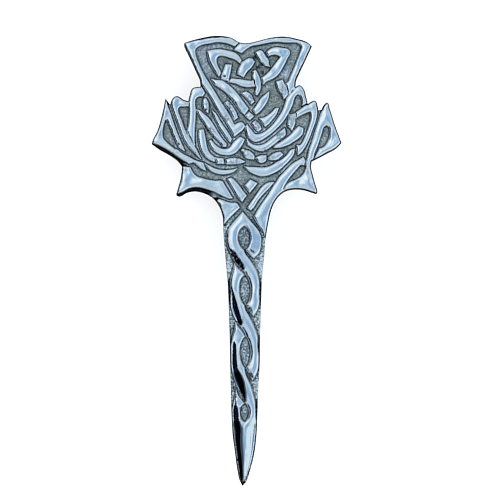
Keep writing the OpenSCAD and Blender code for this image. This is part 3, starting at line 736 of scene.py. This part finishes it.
class Face:
    """The casting's face at a set of points: its heights and how dark the metal is.

    strand and rim are distances in from a strand's edge and from the rim. Most others
    are shares from 0 to 1, such as of the shaft, a dent or an apron."""

    def __init__(self, points):
        self.points = points
        self.strand = raster.sample(to_strand, points)
        self.rim = raster.sample(to_rim, points)
        self.outside = np.maximum(-self.strand, 0)
        self.shaft = zone(points, neck_y, NECK_ZONE)
        self.edge_h = relief_h - blend(*EDGE_DROP, self.shaft)
        self.grain = noise_of(points, GRAIN)
        self.fall, self.held, self.flank_painted_shade = flank_shares(points)
        self.first_flank = zone(points, neck_y, FIRST_FLANK_ZONE)
        self.dent = dent_share(points)
        self.pit = ragged_spots(points, PITS, PIT_EDGE, PIT_RAGGED)
        self.worn = ragged_spots(points, WORN, WORN_EDGE, WORN_RAGGED)
        self.worn *= fade(0, WORN_MARGIN, self.strand)
        self.narrow = 1 - fade(*NARROW, raster.sample(channel_width, points))
        self.narrow *= 1 - self.shaft
        self.band = self.outside + np.maximum(self.rim, 0)
        reach = blend(*APRON_WIDTH, self.shaft)
        self.apron = 1 - fade(reach - APRON_BLUR, reach + APRON_BLUR, self.band)
        for x, y, radius in LIGHT_RIMS:
            away = distance_to(points, on_head(x, y))
            self.apron *= fade(*LIGHT_RIM_EDGE, away / radius)

    def strand_height(self):
        """Height of the strands' tops over the plate."""
        points, shaft, held, grain = self.points, self.shaft, self.held, self.grain
        soft = np.minimum(self.strand, raster.sample(to_strand_soft, points))
        soft = np.maximum(soft, 0) + HELD_CROWN * held
        inside = np.maximum(self.strand, 0) + HELD_EDGE * held * (self.strand > 0)
        rounded = blend(*EDGE_RISE, shaft) * (1 - np.exp(-inside / EDGE_ROUND))
        crown = blend(*(h * (1 - np.exp(-soft / far)) for h, far in zip(CROWN, CROWN_REACH)), shaft)
        blade = zone(points, tip_y, BLADE_ZONE)
        flatter = np.maximum.reduce(spots_of(points, on_shaft, broad_spot, FLATS))
        crown *= (1 - BLADE_FLATTER * blade) * (1 - flatter)
        wave = self.waves(blade) * fade(0, WAVE_EDGE, inside)
        top = self.edge_h + rounded + crown + wave
        top -= self.fall + self.dent * (DENT_DEPTH - DENT_GRAIN * grain) + blade_fall(points)
        top += FLANK_GRAIN * self.first_flank * grain * fade(*ROUGH_FALL, self.fall)
        top += WORN_GRAIN * self.worn * grain
        return np.maximum(top, FLANK_LOW)

    def waves(self, blade):
        """Waves and streaks of the tops, lines along the blade, and the leaning places."""
        points = self.points
        across = self.strand / STREAK_WIDTH + noise_of(points, STREAK_BEND)
        streak = np.stack([across, points.sum(axis=1) * STREAK_RATE], axis=1)
        lines = blade * noise_of(points / BLADE_CELL, BLADE_LINES)
        return (noise_of(points, WAVE) + noise_of(points, FINE_WAVE)
                + (noise_of(streak, STREAKS) + tilt_height(points)) + lines)

    def ground_height(self):
        """Height of the ground, the walls and the aprons over the plate."""
        start, end = STIPPLE_ZONE
        stipple = blend(*STIPPLE, self.shaft) * self.grain
        stipple *= fade(FOOT * start, FOOT * end, self.outside)
        up_wall = 1 - np.clip(self.outside / FOOT, 0, 1)
        wall = self.edge_h * blend(NARROW_FLOOR * self.narrow, 1, up_wall)
        down = np.clip(self.outside / np.maximum(self.band, 1e-6), 0, 1) ** APRON_CURVE
        return blend(wall + stipple, blend(self.edge_h, -RIM_DROP, down), self.apron)

    def rim_line(self):
        """How much of the painted shade line along the rim each point has, and how black it is
        there.
        """
        mark = np.clip(sum(spots_of(self.points, on_head, broad_spot, RIM_MARKS)), -1, 1)
        wedge = np.maximum(wedge_share(self.points), mark)
        start, end = RIM_LINE
        line = 1 - fade(start + WEDGE_WIDTH * wedge, end + WEDGE_WIDTH * wedge, self.rim)
        line *= (1 - fade(*RIM_LINE_FOOT, self.outside)) * np.minimum(1 + mark, 1)
        return line, wedge

    def ground_tint(self, in_eye):
        """How warm or cool the ground is, from -1 to 1."""
        tints = spots_of(self.points, on_head, soft_spot, TINTS)
        tint = sum(tints, noise_of(self.points, TINT_CLOUD))
        tint = np.clip(np.clip(tint, -1, 1) - NARROW_COOLER * self.narrow, -1, 1)
        return blend(tint, EYE_TINT * in_eye, self.shaft)

    def ground_dark(self, tint, in_eye):
        """How dark the ground is, from 0 to 1, and 0 on the strands."""
        points, shaft, narrow = self.points, self.shaft, self.narrow
        strip = blend(STRIP_TONE, EYE_TONE, in_eye)
        strip += sum(spots_of(points, on_shaft, broad_spot, STRIP_SHADES))
        tone = blend(GROUND_TONE + TINT_TONE * tint, strip, shaft) + noise_of(points, GROUND_CLOUD)
        # painted shade beside the walls and at their foot, reaching farther at walls that face down
        # and right
        beside = 1 - fade(*BESIDE_ZONE, self.outside)
        tone += BESIDE_PAINTED_SHADE * beside * (1 - BESIDE_SHAFT * shaft) - NARROW_LIGHTER * narrow
        foot = FOOT * blend(*FOOT_SIDES, wall_side(points)) * (1 - NARROW_FOOT * narrow)
        from_foot = fade(FOOT_ZONE[0] * foot, FOOT_ZONE[1] * foot, self.outside)
        # over the aprons the ground is black, a painted shadow
        dark = blend(blend(FOOT_PAINTED_SHADE, tone, from_foot), 1, self.apron)
        return dark * fade(0, EDGE_ZONE, -self.strand)

    def finished(self):
        """Height over the plate, and the looks of the metal by name."""
        on_strand = self.strand > 0
        line, wedge = self.rim_line()
        height = np.where(on_strand, self.strand_height(), self.ground_height())
        height -= (RIM_LINE_DEPTH + WEDGE_DEPTH * wedge) * line * on_strand
        height -= PIT_DEPTH * self.pit
        in_eye = fade(*EYE_ZONE, self.rim)
        tint = self.ground_tint(in_eye)
        head_grains = HEAD_GRAINS * (1 - NARROW_SMOOTHER * self.narrow)
        grains = blend(head_grains, blend(STRIP_GRAINS, EYE_GRAINS, in_eye), self.shaft)
        dark = np.maximum.reduce([
            self.ground_dark(tint, in_eye),
            # painted shade along the rim
            blend(RIM_PAINTED_SHADE, 1, wedge) * line,
            zone(self.points, tip_y, TIP_ZONE),
            # painted shade in the dents
            DENT_PAINTED_SHADE * self.dent,
            PIT_TONE * self.pit,
            WORN_TONE * self.worn * np.clip(WORN_EVEN + self.grain, 0, 1.4),
        ])
        # the first flank's painted shade is mottled by the grain
        mottle = FLANK_MOTTLE * self.first_flank
        shade = self.flank_painted_shade * (1 - 0.2 * mottle + mottle * self.grain)
        shade = np.clip(shade, 0, 1) * on_strand
        return height, {"dark": dark, "across": self.strand, "tint": tint, "shade": shade,
                        "grains": grains}


# The casting's mesh
def rim_of(faces):
    """The points round the edge of the face, in order."""
    follow = dict(open_edges(faces))
    rim = [next(iter(follow))]
    while follow[rim[-1]] != rim[0]:
        rim.append(follow[rim[-1]])
    return rim


def back_outline(line):
    """The rim's line drawn in by the bevel, wherever there is room for it."""
    inner = line - outward(line) * BACK_BEVEL
    safe = np.abs(raster.sample(to_rim, inner) - BACK_BEVEL) < BEVEL_ERROR
    for shift in (-2, -1, 1, 2):
        safe &= np.roll(safe, shift)
    return np.where(safe[:, None], inner, line)


def back_cap(inner):
    """Rippled points inside the back's outline, and triangles over the outline's and then
    these points."""
    fill = filling(BACK_STEP, BACK_ROW)
    fill = fill[raster.sample(to_rim, fill) > BACK_BEVEL + BACK_STEP / 3]
    count = len(inner)
    closing = [(i, (i + 1) % count) for i in range(count)]
    cap = delaunay_2d_cdt([Vector(p) for p in np.vstack([inner, fill])], closing, [], 0, 1e-7, True)
    origin = [o[0] for o in cap[3] if o]
    assert len(origin) == count + len(fill) == len(cap[0]), "the back's outline crosses itself"
    flat = np.array([tuple(p) for p in cap[0]])
    faces = np.array(cap[2])
    kept = within(flat[faces].mean(axis=1), inner)
    ripple = back_z + BACK_RIPPLE[0] + noise_of(fill, BACK_RIPPLE)
    return np.column_stack([fill, ripple]), np.array(origin)[faces[kept]].tolist()


def casting_mesh():
    """The casting as one closed mesh: its face, its sides and its back."""
    flat, faces = flat_drawing()
    height, looks = Face(flat).finished()
    rim = rim_of(faces)
    line = flat[rim]
    inner = back_outline(line)
    fill, cap_faces = back_cap(inner)
    n = len(flat)
    m = len(rim)
    points = np.vstack([
        np.column_stack([flat, face_z + height]),
        np.column_stack([line, np.full(m, back_z + BACK_BEVEL)]),
        np.column_stack([inner, np.full(m, back_z)]),
        fill,
    ])
    rings = [rim, range(n, n + m), range(n + m, n + 2 * m)]
    all_faces = [tuple(f) for f in faces]
    for upper, below in zip(rings, rings[1:]):
        for i in range(m):
            j = (i + 1) % m
            all_faces.append((upper[i], below[i], below[j], upper[j]))
    cap_start = len(all_faces)
    for a, b, c in cap_faces:
        all_faces.append((n + m + c, n + m + b, n + m + a))
    mesh = bpy.data.meshes.new("casting_metal")
    mesh.from_pydata((points * MM).tolist(), [], all_faces)
    for name, values in looks.items():
        below = np.zeros(2 * m + len(fill))
        if name == "dark":
            below[:m] = SIDE_TONE
            below[m:] = BACK_TONE
        layer = mesh.attributes.new(name, "FLOAT", "POINT")
        layer.data.foreach_set("value", np.concatenate([values, below]))
    mesh.shade_smooth()
    for polygon in list(mesh.polygons)[cap_start - m:cap_start]:
        polygon.use_smooth = False
    mesh.update()
    return mesh


# Materials
class Net:
    """A tree of nodes, and short ways to add and link them."""

    def __init__(self, tree):
        self.nodes = tree.nodes
        self.links = tree.links

    def put(self, socket, value):
        """Link a node's output to a socket, or set the socket to a value."""
        if isinstance(value, bpy.types.NodeSocket):
            self.links.new(value, socket)
        else:
            socket.default_value = value

    def add(self, kind, inputs=None, **settings):
        """A new node with its settings, and its inputs by name or place."""
        node = self.nodes.new(kind)
        for name, value in settings.items():
            setattr(node, name, value)
        for key, value in (inputs or {}).items():
            self.put(node.inputs[key], value)
        return node

    def set(self, **sockets):
        """Link or set sockets of a material's shader, and give its output."""
        shader = self.nodes["Principled BSDF"]
        for name, value in sockets.items():
            self.put(shader.inputs[name.replace("_", " ")], value)
        return shader.outputs[0]

    def math(self, operation, *values):
        inputs = dict(enumerate(values))
        return self.add("ShaderNodeMath", inputs, operation=operation).outputs[0]

    def attribute(self, name):
        return self.add("ShaderNodeAttribute", attribute_name=name).outputs["Fac"]

    def place(self):
        """Place on the object, x, y and z in millimetres."""
        coord = self.add("ShaderNodeTexCoord").outputs["Object"]
        inputs = {0: coord, "Scale": 1 / MM}
        return self.add("ShaderNodeVectorMath", inputs, operation="SCALE").outputs[0]

    def apart(self, vector):
        return self.add("ShaderNodeSeparateXYZ", {0: vector}).outputs

    def stretched(self, values, scales):
        """A vector of three values, each times its own scale."""
        scaled = [self.math("MULTIPLY", v, s) for v, s in zip(values, scales)]
        return self.add("ShaderNodeCombineXYZ", dict(enumerate(scaled))).outputs[0]

    def noise(self, vector, scale, detail):
        inputs = {"Vector": vector, "Scale": scale, "Detail": detail}
        return self.add("ShaderNodeTexNoise", inputs).outputs["Fac"]

    def ramp(self, value, stops):
        node = self.add("ShaderNodeValToRGB", {0: value})
        elements = node.color_ramp.elements
        while len(elements) < len(stops):
            elements.new(0.5)
        for element, (at, colour) in zip(elements, stops):
            element.position = at
            element.color = (*colour, 1)
        return node.outputs[0]

    def mixed(self, colour, other, factor, way):
        inputs = {"Factor": factor, "A": colour, "B": other}
        node = self.add("ShaderNodeMix", inputs, data_type="RGBA", blend_type=way)
        return node.outputs["Result"]

    def bump(self, height, depth_mm, before=None):
        """Bump of a height from 0 to 1 that stands for a depth, over any bump before it."""
        inputs = {"Height": height, "Distance": depth_mm * MM}
        if before:
            inputs["Normal"] = before
        return self.add("ShaderNodeBump", inputs).outputs[0]

    def by_ray(self, seen, reflected, surface):
        """Give one shader to the camera's rays and another to all others."""
        ray = self.add("ShaderNodeLightPath").outputs["Is Camera Ray"]
        both = self.add("ShaderNodeMixShader", {0: ray, 1: reflected, 2: seen})
        self.put(surface, both.outputs[0])


def new_material(name):
    """A material and the net of its nodes."""
    material = bpy.data.materials.new(name)
    material.use_nodes = True
    return material, Net(material.node_tree)


def grey(value):
    return (value, value, value)


# The metals. Scales are in cells to the millimetre, depths in millimetres
SPECK_SCALE = 2.6
SPECK_DEPTH = 0.12
ROUGH_RATE = 8.0                 # how soon grain and tint come in as the metal gets darker
CLOUD_SCALE = 0.5
CLOUD_TONE = 0.22
TINT_STRENGTH = 0.5
POLISH_SCALES = (6.0, 0.3, 0.3)  # polishing lines: across a strand, and along x and y
POLISH_DEPTH = 0.016
POLISH_ROUGHNESS = 0.12
ROUGHNESS = [(0, grey(0.18)), (0.3, grey(0.4)), (1, grey(0.5))]
WIRE_SCALES = (9.0, 0.5, 9.0)    # drawing lines of the wire: x, y and z
WIRE_DEPTH = 0.02
WIRE_TONES = [(0.25, (0.62, 0.64, 0.66)), (0.6, (0.42, 0.43, 0.44))]


def cast_metal():
    """Polished metal on the high parts, grey and near black in the deep ones."""
    material, net = new_material("cast_metal")
    dark = net.attribute("dark")
    place = net.place()
    x, y, _ = net.apart(place)
    speck = net.math("SUBTRACT", net.noise(place, SPECK_SCALE, 1.5), 0.5)
    rough_part = net.math("SMOOTH_MIN", net.math("MULTIPLY", dark, ROUGH_RATE), 1.0, 0.1)
    grains = net.math("MULTIPLY", net.attribute("grains"), rough_part)
    tone = net.math("MULTIPLY_ADD", speck, grains, dark)
    cloud = net.math("SUBTRACT", net.noise(place, CLOUD_SCALE, 5), 0.5)
    tone = net.math("MULTIPLY_ADD", cloud, CLOUD_TONE, tone)
    tint = net.math("MULTIPLY", net.attribute("tint"), rough_part)
    warmth = net.math("MULTIPLY_ADD", tint, TINT_STRENGTH, 0.5)
    colour = net.ramp(tone, TONES)
    # the colour is warmed or cooled by the tint, and darkened by the painted shade on the flanks
    for share, stops in ((warmth, [(0, COOL), (0.5, grey(1)), (1, WARM)]),
                         (net.attribute("shade"), [(0, grey(1)), (1, SHADED)])):
        colour = net.mixed(colour, net.ramp(share, stops), 1, "MULTIPLY")
    polish = net.noise(net.stretched((net.attribute("across"), x, y), POLISH_SCALES), 1.0, 3)
    uneven = net.math("SUBTRACT", polish, 0.5)
    rough = net.math("MULTIPLY_ADD", uneven, POLISH_ROUGHNESS, net.ramp(tone, ROUGHNESS))
    lines = net.bump(polish, POLISH_DEPTH)
    grained = net.bump(net.math("MULTIPLY", speck, rough_part), SPECK_DEPTH, lines)
    net.set(Base_Color=colour, Metallic=1.0, Roughness=rough, Normal=grained)
    return material


def wire_metal():
    """Drawn wire: fine lines along it and cloudy wear."""
    material, net = new_material("wire_metal")
    place = net.place()
    lines = net.noise(net.stretched(net.apart(place), WIRE_SCALES), 1.0, 3)
    cloud = net.noise(place, 0.6, 4)
    tone = net.math("ADD", net.math("MULTIPLY", lines, 0.35), net.math("MULTIPLY", cloud, 0.5))
    net.set(Base_Color=net.ramp(tone, WIRE_TONES), Metallic=1.0,
            Roughness=net.math("MULTIPLY_ADD", tone, 0.3, 0.14), Normal=net.bump(lines, WIRE_DEPTH))
    return material


casting = bpy.data.objects.new("casting_metal", casting_mesh())
bpy.context.collection.objects.link(casting)
casting.data.materials.append(cast_metal())
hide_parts("casting")
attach(casting, "root")
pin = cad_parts["pin_back"]
pin_metal = wire_metal()
for slot in pin.material_slots:
    slot.material = pin_metal

# The floor, the light and the camera, in metres
FLOOR_SIZE = 6
FLOOR_COLOUR = (0.93, 0.93, 0.93, 1)
FLOOR_ROUGHNESS = 0.9
FLOOR_GLOW = (1, 0.95, 0.91, 1)
GLOW_STRENGTH = 0.67  # keeps the shadow faint, as in the photograph
FLOOR_IN_METAL = 0.3  # how light the floor is where the metal reflects it
SKY_TONES = [(0, (0.5, 0.54, 0.58)), (0.5, (0.58, 0.66, 0.72)), (0.85, (0.6, 0.76, 0.9)),
             (1, (0.46, 0.64, 0.78))]
SKY_BEHIND = (0.9, 0.91, 0.92, 1)
# Places in the sky that the metal reflects: direction, cosine at the edge and at
# the full strength, colour
SKY_PATCHES = [
    ((0.68, -0.42, 0.6), 0.74, 0.95, (0.78, 0.94, 1.02)),
    ((-0.86, -0.2, 0.47), 0.83, 0.93, (0, 0, 0.01)),
    ((0.33, -0.06, 0.942), 0.933, 0.992, (0.29, 0.48, 0.72)),
    ((-0.3, 0.2, 0.93), 0.93, 0.99, (0.98, 1.1, 1.16)),
]
CAMERA_PLACE = (0.00076, 0.00238, 0.45)
FRAME_WIDTH = 0.1111  # what the picture shows at the height of the strands
SHARPEN = 0.06
GAMMA = 2.2


def floor():
    bpy.ops.mesh.primitive_plane_add(size=FLOOR_SIZE)
    plane = bpy.context.object
    plane.name = "floor"
    material, net = new_material("paper")
    paper = net.set(Base_Color=FLOOR_COLOUR, Roughness=FLOOR_ROUGHNESS,
                    Emission_Color=FLOOR_GLOW, Emission_Strength=GLOW_STRENGTH)
    dim = net.add("ShaderNodeBsdfDiffuse", {"Color": (*grey(FLOOR_IN_METAL), 1)})
    net.by_ray(paper, dim.outputs[0], net.nodes["Material Output"].inputs["Surface"])
    plane.data.materials.append(material)


def sky():
    """A soft sky with its patches, and a plain pale one where the camera sees it."""
    world = bpy.data.worlds.new("sky")
    bpy.context.scene.world = world
    world.use_nodes = True
    net = Net(world.node_tree)
    net.nodes.clear()
    upward = net.add("ShaderNodeTexCoord").outputs["Generated"]
    colour = net.ramp(net.apart(upward)["Z"], SKY_TONES)
    for direction, edge, full, tint in SKY_PATCHES:
        pair = {0: upward, 1: Vector(direction).normalized()}
        near = net.add("ShaderNodeVectorMath", pair, operation="DOT_PRODUCT").outputs["Value"]
        ends = {"Value": near, "From Min": edge, "From Max": full}
        share = net.add("ShaderNodeMapRange", ends, interpolation_type="SMOOTHSTEP")
        colour = net.mixed(colour, (*tint, 1), share.outputs["Result"], "MIX")
    light = net.add("ShaderNodeBackground", {"Color": colour})
    plain = net.add("ShaderNodeBackground", {"Color": SKY_BEHIND})
    out = net.add("ShaderNodeOutputWorld")
    net.by_ray(plain.outputs[0], light.outputs[0], out.inputs["Surface"])


def camera():
    """Straight above the face, with the photograph's frame."""
    data = bpy.data.cameras.new("camera")
    eye = bpy.data.objects.new("camera", data)
    bpy.context.collection.objects.link(eye)
    eye.location = CAMERA_PLACE
    data.angle = 2 * math.atan(FRAME_WIDTH / 2 / (CAMERA_PLACE[2] - top_z * MM))
    data.clip_start = 0.01
    bpy.context.scene.camera = eye


def finishing():
    """A light sharpening of the finished picture, as small product photographs have."""
    scene = bpy.context.scene
    scene.use_nodes = True
    net = Net(scene.node_tree)
    net.nodes.clear()
    layers = net.add("CompositorNodeRLayers")
    even = net.add("CompositorNodeGamma", {"Image": layers.outputs["Image"], "Gamma": 1 / GAMMA})
    sharp = net.add("CompositorNodeFilter", {"Image": even.outputs[0], "Fac": SHARPEN},
                    filter_type="SHARPEN")
    back = net.add("CompositorNodeGamma", {"Image": sharp.outputs[0], "Gamma": GAMMA})
    net.add("CompositorNodeComposite", {"Image": back.outputs[0]})


floor()
sky()
camera()
bpy.context.scene.view_settings.view_transform = "Standard"
finishing()
